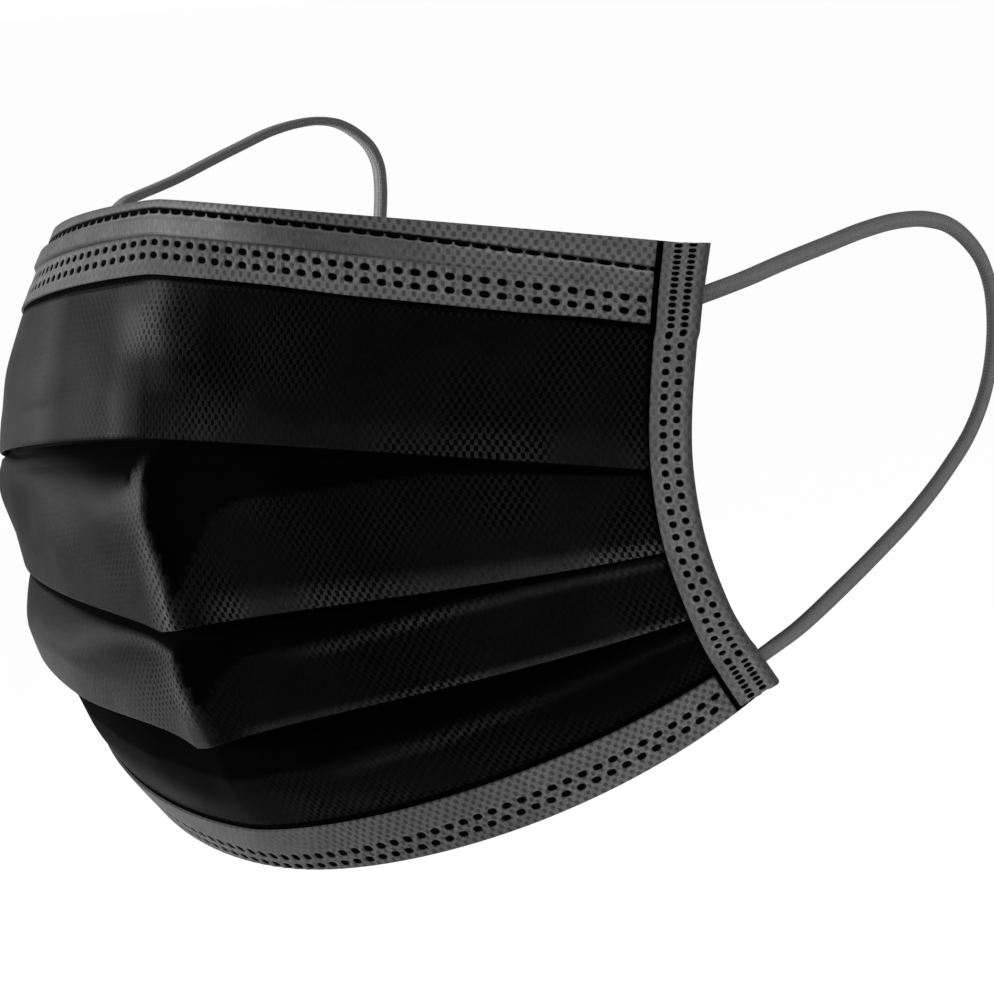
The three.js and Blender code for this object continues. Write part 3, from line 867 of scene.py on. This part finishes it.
def bodyMiddle(across, arc, distances):
    # the cloth's middle line at one place across, as rows of (down, out)
    turn, wall, steps = cloth["turn"], cloth["wall"], cloth["steps"]
    opened = (1 - across ** 2) ** 3
    frontGap, backGap = (least + more * opened for least, more in (cloth["gap"], cloth["backGap"]))
    line = [(cloth["edgeInset"], 0.0)]
    straight(line, distances[hemSeam], 0.0, steps["topFlap"])
    for pleat in pleats:
        crest = distances[levelNumber[pleat["crest"]]]
        foldTop = crest - pleat["fold"]
        spread = pleat["open"] * opened
        fromDown, fromOut = line[-1]
        toDown = foldTop - cloth["foldEase"]
        for t in np.linspace(0, 1, steps["panel"] + 1)[1:]:
            down = fromDown + (toDown - fromDown) * t
            beside = abs(arc - creasePlace(pleat, t))
            sink = cloth["ridgeSink"] * (1 - across ** 2)
            ridge = pleat["ridge"] * (np.exp(-beside / cloth["centreReach"]) - sink)
            swell = softness(arc, down) * (sin(pi * t) ** 0.5 if t < 1 else 0)
            stand = ridge * ease(0, pleat["rise"], t) + slackness(pleat, arc, t)
            line.append((down, fromOut * deepening(t) + stand + swell))
        ridge = stand
        edge = crest - wall / 2 - turn
        straight(line, edge - cloth["lip"], ridge, steps["lip"])
        line += halfTurn(edge, ridge - turn, turn, 90, -90, steps["turn"])
        back = min(ridge, 0) - frontGap - spread
        straight(line, foldTop + cloth["heel"], back + turn, steps["back"])
        line += halfTurn(foldTop, back, turn, 90, 270, steps["turn"])
        clearance = cloth["crestClearance"]
        if pleat is pleats[0]:
            clearance *= ease(*cloth["firstFoldEnd"], arc)
        straight(line, crest + clearance, back - backGap + spread * cloth["backShare"], steps["under"])
    fromDown, fromOut = line[-1]
    toDown = distances[chinSeam] - cloth["chinEase"]
    for t in np.linspace(0, 1, steps["chin"] + 1)[1:]:
        down = fromDown + (toDown - fromDown) * t
        swell = softness(arc, down) * sin(pi * t) if t < 1 else 0
        line.append((down, fromOut * deepening(t) + swell))
    straight(line, distances[bottomEdge] - cloth["edgeInset"], 0.0, steps["bottomFlap"])
    return np.array(line)


def bothSides(tags, inner):
    # carries the tags of a middle line over to a shell's outer and inner side
    around = {name: np.concatenate([values, values[inner][::-1]]) for name, values in tags.items()}
    if "weldGuide" in around:
        around["weldGuide"][len(tags["weldGuide"]):, 2] = -1.0  # no welds inside
    return around


def shellAcross(name, middleAt, wall, outerSide, step, few, tagsAt):
    # a piece that runs across the mask, from a middle line at each place
    ends = halfArc - cloth["endInset"]
    rings, tags = [], []
    for arc in np.linspace(-ends, ends, 2 * ceil(ends / step) + 1):
        across = acrossAt(arc)
        distances = distancesAt(across)
        middle = middleAt(across, arc, distances)
        inner = everyFew(few, len(middle))
        ring = wallRing(middle, wall, inner, outerSide)
        rings.append(onCloth(across, ring[:, 0], ring[:, 1]))
        tags.append(bothSides(tagsAt(arc, middle, distances), inner))
    return closedShell(name, rings, len(inner), tags)


def bindingGapShade(arc):
    # 1 along the black line of painted shade in the gap beside a binding's inner edge, and under the binding
    return ease(0.0002, 0.0, halfArc - binding["width"] - bindingGap - abs(arc))


def paintedLightOnPanel(each, beside, t, share):
    # how much painted highlight and painted light a panel gets: beside its crease, on its foot, and below the
    # fold's painted shadow
    left = ease(*paintedLights["leftEdge"], beside)
    strip = paintedLights["crease"][each] * bell(0, paintedLights["creaseWidth"], beside) * ease(*paintedLights["creaseEdge"], beside)
    strip = strip * ease(*paintedLights["creaseReach"], t)
    foot = paintedLights["foot"][each] * ease(*paintedLights["footReach"][each], t) * left
    head = paintedLights["head"][each] * bell(paintedLights["headDrop"], paintedLights["headWidth"], t - share)
    head = head * ease(*paintedLights["headEdge"], beside)
    far = paintedLights["far"][each] * ease(*paintedLights["farEdge"], beside) * ease(*paintedLights["farReach"], t)
    brow = paintedLights["brow"][each] * bell(paintedLights["browPlace"], paintedLights["browWidth"], beside)
    brow = brow * ease(*paintedLights["browReach"], t)
    chin = paintedLights["chin"][each] * ease(*paintedLights["chinReach"], t)
    return strip + foot + head + (paintedLights["cheek"] * left + far) + brow + chin


droop = {"depth": 0.0004, "start": (0.022, 0.038), "end": (0.076, 0.062)}


def hemDroop(arc):
    # how far the top hem's lower edge hangs down on the left of the face
    return droop["depth"] * ease(*droop["start"], arc) * ease(*droop["end"], arc)


def bodyTags(arc, middle, distances):
    run, down = runAlong(middle), middle[:, 0]
    edges = [distances[hemSeam], *(distances[levelNumber[p["crest"]]] for p in pleats), distances[chinSeam]]
    number = np.interp(down, edges, range(len(edges)))
    t = number % 1.0
    black, pale = np.zeros_like(run), np.zeros_like(run)
    for each, panel in enumerate(panels):
        beside = arc - (creasePlace(pleats[each], t) if each < len(pleats) else 0.0)
        share, paintedShade = readOff(panel["black"], beside), readOff(panel["paintedShade"], beside)
        if each == 0:  # painted shade below the bulge
            turned = 0.7 * ease(-0.009, -0.001, arc) * ease(0.38, 0.56, t)
            paintedShade = np.maximum(paintedShade, turned * ease(0.016, 0.011, arc))
        if each == 2:  # more painted shade towards its top, on the right
            paintedShade = paintedShade + 0.3 * ease(0.7, 0.3, t) * ease(-0.004, -0.010, beside)
        if each == 3:  # less painted shade towards its foot, on the right
            paintedShade = paintedShade * (1 - 0.28 * ease(0.55, 0.85, t) * ease(0.006, -0.006, beside))
        blur = readOff(panel.get("blur", plainBlur), beside)
        shadow = ease(share + blurBelow * blur, share - blurAbove * blur, t) * (share > 0)
        here = number.astype(int) == each
        # painted shadow under the fold above, and painted shade over the rest of the panel
        black = np.where(here, np.maximum(shadow, paintedShade), black)
        pale = np.where(here, paintedLightOnPanel(each, beside, t, share), pale)
    hemLine = ease(seamWidth, seamWidth * seamSoftness, down - edges[0] - hemDroop(arc))
    chinLine = ease(chinWidth, chinWidth * seamSoftness, edges[-1] - down)
    seam = np.maximum(np.maximum(hemLine, chinLine), bindingGapShade(arc))
    return {"lay": tagOf(arc, run, seam), "panel": tagOf(t, black, pale)}


def buildBody():
    body = shellAcross("maskCloth", bodyMiddle, cloth["wall"], 1, cloth["step"], 1, bodyTags)
    body.data.materials.append(blackCloth)
    finishPiece(body, "mask_body")
    return body


maskCloth = buildBody()
print("mask cloth folded")


# Hems: folded round the cloth's top and bottom edges

hem = {
    "wall": 0.0004,
    "pitch": 0.0005,  # from the sheet to the middle of each leg
    "backShort": 0.001,
    "bow": 0.0004,  # how far the top edge draws in towards the sides
    "turnSteps": 8,
    "weldPitch": 0.0026,
    "firstBeat": 100.25,  # keeps the count of dots above zero, and sets where they lie
    "dotClearance": 0.0007,
    "worn": 0.75,  # how far the lattice is gone on the right
    "wornReach": (0.022, 0.0),
    "columnsPerWeld": 8,
    "fine": 0.00022,
    "coarse": 0.0005,
}
channel = {"height": 0.0006, "top": 0.0088, "bottom": 0.0064, "ramp": 0.0004, "end": 0.0505, "fade": 0.010}
crease = {"up": 0.0061, "width": 0.00022, "depth": 0.00025, "tone": 0.6, "ends": (0.045, 0.030)}  # below it; its tone is painted shade along the crease
groove = 0.00035  # how deep a hem is pressed in beside a binding
topWelds = {  # rows up from the hem's seam
    "Row A": 0.0046, "Row B": 0.0025, "Stagger": 0.0, "Dot Share": 0.56, "Dot Width": 0.00105,
    "Dash Row": 0.0098, "Dash Share": 0.86, "Dash Width": 0.0009, "Depth": 0.00018, "Puff": 0.00010,
}
bottomWelds = {  # in from the edge
    **topWelds, "Row A": 0.0057, "Row B": 0.0034, "Stagger": 0.5, "Dot Width": 0.00125, "Dash Row": -5.0,
}


def topHemStops():
    # distances up from the seam at which the front leg has a row of points, up to the dashes
    stops = [0.0]
    reaches = ((0.0012, "coarse"), (0.0053, "fine"), (0.0068, "fine"), (0.0090, "coarse"), (0.0106, "fine"))
    for end, step in reaches:
        stops += [*evenStops(stops[-1], end, hem[step])]
    return np.array(stops)


topStops = topHemStops()
bottomStops = stopsBack(0.0068, 0.0060, hem["fine"])  # in from the edge
leadPoints = 5  # between those and the turn, or the seam


def channelRaise(up, arc):
    past = abs(arc) - channel["end"]
    risen = 1 - ease(0, channel["fade"], past)
    bottom, top, ramp = channel["bottom"], channel["top"], channel["ramp"]
    across = ease(bottom - ramp, bottom + ramp / 2, up) - ease(top - ramp / 2, top + ramp, up)
    return channel["height"] * risen * across


def besideBinding(arc):
    # 1 along the groove beside a binding's inner edge
    inner = halfArc - binding["width"]
    return ease(inner - bindingGap - 0.0002, inner - bindingGap + 0.0001, abs(arc))


def topHemMiddle(across, arc, distances):
    pitch, wall = hem["pitch"], hem["wall"]
    seam = distances[hemSeam]
    turnCentre = pitch + wall / 2 + hem["bow"] * across ** 2
    lead = np.linspace(topStops[-1], seam - turnCentre, leadPoints + 2)[1:-1]
    ups = np.concatenate([topStops, lead])
    sunk = crease["depth"] * bell(crease["up"], crease["width"], ups)
    outs = pitch + channelRaise(ups, arc) - sunk - groove * besideBinding(arc)
    front = list(zip(seam - ups, outs))
    front[0] = (seam + hemDroop(arc), pitch)
    line = front + halfTurn(turnCentre, 0.0, pitch, 90, 270, hem["turnSteps"])
    backUps = [up for up in ups[::-1] if up > hem["backShort"]]
    return np.array(line + [(seam - up, -pitch) for up in backUps])


def bottomHemMiddle(across, arc, distances):
    pitch, wall = hem["pitch"], hem["wall"]
    edge, seam = distances[bottomEdge], distances[chinSeam]
    turnCentre = edge - pitch - wall / 2
    lead = np.linspace(edge - seam, bottomStops[0], leadPoints + 1)[:-1]
    ins = np.concatenate([lead, bottomStops])
    front = [(edge - inward, pitch - groove * besideBinding(arc)) for inward in ins]
    line = front + halfTurn(turnCentre, 0.0, pitch, 90, -90, hem["turnSteps"])
    return np.array(line + [(edge - inward, -pitch) for inward in ins[::-1][:-2]])


topHemLight = {  # at places along a hem, on its upper and its lower part: painted light and painted shade make it lighter or darker
    "upper": [(-0.05, 0.58), (-0.015, 0.7), (-0.002, 1.1), (0.004, 1.5), (0.014, 1.5), (0.024, 0.85),
              (0.032, 0.72), (0.05, 1.0), (0.06, 1.08)],
    "lower": [(-0.05, 0.75), (0.015, 0.75), (0.03, 1.0), (0.06, 1.08)],
}
bottomHemLightTable = [(-0.05, 0.65), (0.0, 0.62), (0.04, 0.65), (0.065, 1.0)]
bottomHemLight = {"upper": bottomHemLightTable, "lower": bottomHemLightTable}
band = {  # the smooth band over the wire and the lines above it, up from the top hem's seam: a painted highlight along its upper edge, and a painted shadow line through the dashes
    "up": 0.0079, "half": 0.0015, "edge": (0.0009, 0.0002), "ends": (0.056, 0.040), "foot": (0.0058, 0.0064),
    "glint": 0.0091, "glintWidth": 0.00035, "glintTone": 0.4,
    "line": 0.01015, "shadowLineEdge": (0.00032, 0.00012), "paintedShadeTone": 0.9,
    "fade": 0.4, "fadeReach": (0.052, 0.068),
}
topRows = {  # where the two rows of dots lie, at places out from the centre; past "fixed" nothing is shifted
    "out": (0.0, 0.035, 0.060, 0.088), "Row A": (0.0050, 0.0043, 0.0041, 0.0040),
    "Row B": (0.0030, 0.0022, 0.0018, 0.0016), "fixed": 0.0078, "welds": topWelds,
}
bottomRows = {
    "out": (0.0, 0.025, 0.045, 0.088), "Row A": (0.0034, 0.0047, 0.0057, 0.0057),
    "Row B": (0.0012, 0.0022, 0.0034, 0.0034), "fixed": 0.0105, "welds": bottomWelds,
}


def spreadRows(row, arc, rows):
    # shifts the two rows of dots of a hem to where they lie at one place along it
    near, far = (np.interp(abs(arc), rows["out"], rows[each]) for each in ("Row B", "Row A"))
    first, second, fixed = rows["welds"]["Row B"], rows["welds"]["Row A"], rows["fixed"]
    margin, beyond = 0.004, 0.02  # past the rows, where nothing is shifted
    here, there = (near - margin, near, far, fixed, beyond), (first - margin, first, second, fixed, beyond)
    return np.interp(row, here, there)


def dotIsClear(arc, shift):
    # whether the dot at one place along a hem lies clear of the bindings
    beat = arc / hem["weldPitch"] + hem["firstBeat"] + shift
    centre = (np.floor(beat) + 0.5 - shift - hem["firstBeat"]) * hem["weldPitch"]
    return abs(centre) < halfArc - binding["width"] - bindingGap - hem["dotClearance"]


def hemTags(level, toneAndLight, rows, hasCrease):
    # tags for the points of a hem, with rows counted up from one level
    def tags(arc, middle, distances):
        row = distances[level] - middle[:, 0]
        inFront = (middle[:, 1] > 0) * hasCrease
        # painted shade in the crease below the channel, and in the groove beside a binding
        line = crease["tone"] * bell(crease["up"], crease["width"], row)
        seam = np.maximum(besideBinding(arc), line * ease(*crease["ends"], abs(arc)) * inFront)
        onLeg = abs(middle[:, 1]) >= hem["pitch"] * 0.2
        spread = spreadRows(row, arc, rows)
        between = (rows["welds"]["Row A"] + rows["welds"]["Row B"]) / 2
        clear = [dotIsClear(arc, shift) for shift in (0.0, rows["welds"]["Stagger"])]
        dotted = onLeg & ((spread > rows["fixed"]) | np.where(spread > between, *clear))
        taut = ease(*band["edge"], abs(row - band["up"]) - band["half"]) * ease(*band["ends"], abs(arc))
        taut = np.maximum(taut * inFront, hem["worn"] * ease(*hem["wornReach"], arc))
        # painted light and painted shade along the hem, with a painted highlight above the channel
        upper, lower = (readOff(toneAndLight[part], arc) for part in ("upper", "lower"))
        paintedHemLight = lower + (upper - lower) * ease(*band["foot"], row)
        paintedHemLight = paintedHemLight * (1 + band["glintTone"] * bell(band["glint"], band["glintWidth"], row) * inFront)
        # a painted shadow line through the dashes, fading towards the sides
        faint = band["paintedShadeTone"] - band["fade"] * ease(*band["fadeReach"], abs(arc))
        line = faint * ease(*band["shadowLineEdge"], abs(row - band["line"])) * inFront
        beat = arc / hem["weldPitch"] + hem["firstBeat"]
        return {
            "lay": tagOf(arc, runAlong(middle), seam),
            "weldGuide": tagOf(beat, hem["weldPitch"], np.where(dotted, spread, -1.0)),
            "strain": tagOf(taut, paintedHemLight, np.maximum(line, besideBinding(arc) * band["paintedShadeTone"])),
        }
    return tags


def buildHem(name, node, middleAt, outerSide, tagsAt, welds):
    step = hem["weldPitch"] / hem["columnsPerWeld"]
    piece = shellAcross(name, middleAt, hem["wall"], outerSide, step, 3, tagsAt)
    pressWelds(piece, welds, clothFinish(name + "Cloth", greyLook, welds))
    finishPiece(piece, node)
    return piece


topHem = buildHem("topHemBand", "top_hem", topHemMiddle, -1,
                  hemTags(hemSeam, topHemLight, topRows, True), topWelds)
bottomHem = buildHem("bottomHemBand", "bottom_hem", bottomHemMiddle, 1,
                     hemTags(bottomEdge, bottomHemLight, bottomRows, False), bottomWelds)
print("hems welded")


# Nose wire, in the channel between the cloth and the top hem

wire = {"half": 0.0497, "up": 0.0079, "width": 0.0026, "thickness": 0.0005, "lift": 0.0003,
        "step": 0.0012, "sides": 16, "squareness": (0.4, 0.6)}


def buildNoseWire():
    sides = wire["sides"]
    around = np.linspace(0, 2 * pi, sides, endpoint=False) + pi / sides
    wide, deep = (squarer(f(around), power) for f, power in zip((np.cos, np.sin), wire["squareness"]))
    rings = []
    for arc in np.linspace(-wire["half"], wire["half"], 2 * ceil(wire["half"] / wire["step"]) + 1):
        across = acrossAt(arc)
        down = distancesAt(across)[hemSeam] - wire["up"] + wire["width"] / 2 * wide
        rings.append(onCloth(across, down, wire["lift"] + wire["thickness"] / 2 * (1 + deep)))
    piece = closedShell("noseWireStrip", rings, sides // 2, [{}])
    piece.data.materials.append(coatedWire)
    finishPiece(piece, "nose_wire")


buildNoseWire()
print("nose wire laid")


# Side bindings: folded round the side edges, over the ends of the hems

def bindingMiddle(down, distances):
    hemPast = distances[hemSeam] + binding["hemClearance"]
    chinBefore = distances[chinSeam] - binding["hemClearance"]
    single = ease(hemPast, hemPast + binding["ease"], down)
    single = single - ease(chinBefore - binding["ease"], chinBefore, down)
    front, back = (a + (b - a) * single for a, b in zip(binding["overHem"], binding["overCloth"]))
    depth, wall, width = binding["turnDepth"], binding["wall"], binding["width"]
    turnCentre = depth + wall / 2 - binding["turnInset"]
    inwards = stopsBack(width, width - turnCentre, binding["fine"])
    centre, half = (front + back) / 2, (front - back) / 2
    angles = np.linspace(0, pi, binding["turnSteps"] + 1)[1:-1]
    turn = [(turnCentre - depth * sin(a), centre + half * cos(a)) for a in angles]
    legs = [(inward, front) for inward in inwards], [(inward, back) for inward in inwards[::-1]]
    return np.array(legs[0] + turn + legs[1])


def buildBinding(name, node, side):
    distances = distancesAt(1.0)
    top, bottom = -binding["overhang"][0], distances[bottomEdge] + binding["overhang"][1]
    downs = np.linspace(top, bottom, ceil((bottom - top) / binding["step"]) + 1)
    denseTop, denseBottom = binding["denseReach"][0], distances[bottomEdge] - binding["denseReach"][1]
    pitches, beats = [binding["densePitch"]], [0.0]
    for before, down in zip(downs, downs[1:]):
        beats.append(beats[-1] + (down - before) / pitches[-1])
        isDense = down < denseTop or down > denseBottom
        between = int(beats[-1]) > int(beats[-2])  # the spacing changes only between two dots
        pitches.append(binding["densePitch" if isDense else "pitch"] if between else pitches[-1])
    rings, tags = [], []
    for down, pitch, beat in zip(downs, pitches, beats):
        middle = bindingMiddle(down, distances)
        inner = everyFew(3, len(middle))
        ring = wallRing(middle, binding["wall"], inner, -1)
        across = side * (1 - ring[:, 0] / halfArc)
        lower = levelDistances(across)[bottomEdge] - distances[bottomEdge]
        reach = ease(*binding["footReach"], down / distances[bottomEdge])
        below = down + binding["footSlant"] * lower * reach
        cut = ring[:, 1] * binding["cutSlant"] + binding["cutRise"] * ring[:, 0] / binding["width"]
        below = below + (cut - binding["cutDrop"]) * ease(*binding["cutReach"], down)
        rings.append(onCloth(across, below, ring[:, 1]))
        inward = middle[:, 0]
        row = np.where(inward > binding["turnDepth"] + binding["wall"], inward, -1.0)
        # painted shade on the turned outer edge
        outerEdgeShade = binding["paintedEdgeShade"] * ease(*binding["edgeReach"], inward)
        tags.append(bothSides({
            "lay": tagOf(runAlong(middle), down, outerEdgeShade),
            "weldGuide": tagOf(beat, pitch, row),
            "strain": tagOf(0.0, binding["toneAndLight"], np.zeros_like(row)),
        }, inner))
    piece = closedShell(name, rings, len(inner), tags)
    pressWelds(piece, bindingWelds, clothFinish(name + "Cloth", bindingLook, bindingWelds))
    finishPiece(piece, node)
    return piece


bindingLeft = buildBinding("sideBindingLeft", "side_binding_left", 1)
bindingRight = buildBinding("sideBindingRight", "side_binding_right", -1)
print("bindings welded")


# Studio

studio = {
    "floor": -0.4,
    "floorSize": 600.0,
    "floorColour": (0.984, 0.984, 0.984, 1),
    "ambient": 1.0,
    "aim": (0, 0.02, -0.045),
    "light": dict(azimuth=-66, elevation=5, distance=1.3, width=0.6, height=0.35, power=35),
}


def buildStudio():
    half = studio["floorSize"] / 2
    corners = [(-half, -half), (half, -half), (half, half), (-half, half)]
    mesh = bpy.data.meshes.new("paleFloor")
    mesh.from_pydata([(x, y, studio["floor"]) for x, y in corners], [], [(0, 1, 2, 3)])
    floor = bpy.data.objects.new("paleFloor", mesh)
    bpy.context.collection.objects.link(floor)
    material, tree = newFinish("palePaper")
    showSurface(plainShader(tree, studio["floorColour"], 0.9, 0.0))
    mesh.materials.append(material)
    world = bpy.data.worlds.new("whiteRoom")
    world.use_nodes = True
    background = world.node_tree.nodes["Background"]
    background.inputs["Color"].default_value = (1, 1, 1, 1)
    background.inputs["Strength"].default_value = studio["ambient"]
    bpy.context.scene.world = world
    lamp = studio["light"]
    data = bpy.data.lights.new("sideLight", "AREA")
    data.shape = "RECTANGLE"
    data.size, data.size_y = lamp["width"], lamp["height"]
    data.energy = lamp["power"]
    light = bpy.data.objects.new("sideLight", data)
    away = awayVector(lamp["azimuth"], lamp["elevation"])
    light.location = Vector(studio["aim"]) + away * lamp["distance"]
    light.rotation_euler = (-away).to_track_quat("-Z", "Y").to_euler()
    bpy.context.collection.objects.link(light)
    bpy.context.scene.view_settings.view_transform = "Standard"


buildStudio()
print("studio lit")
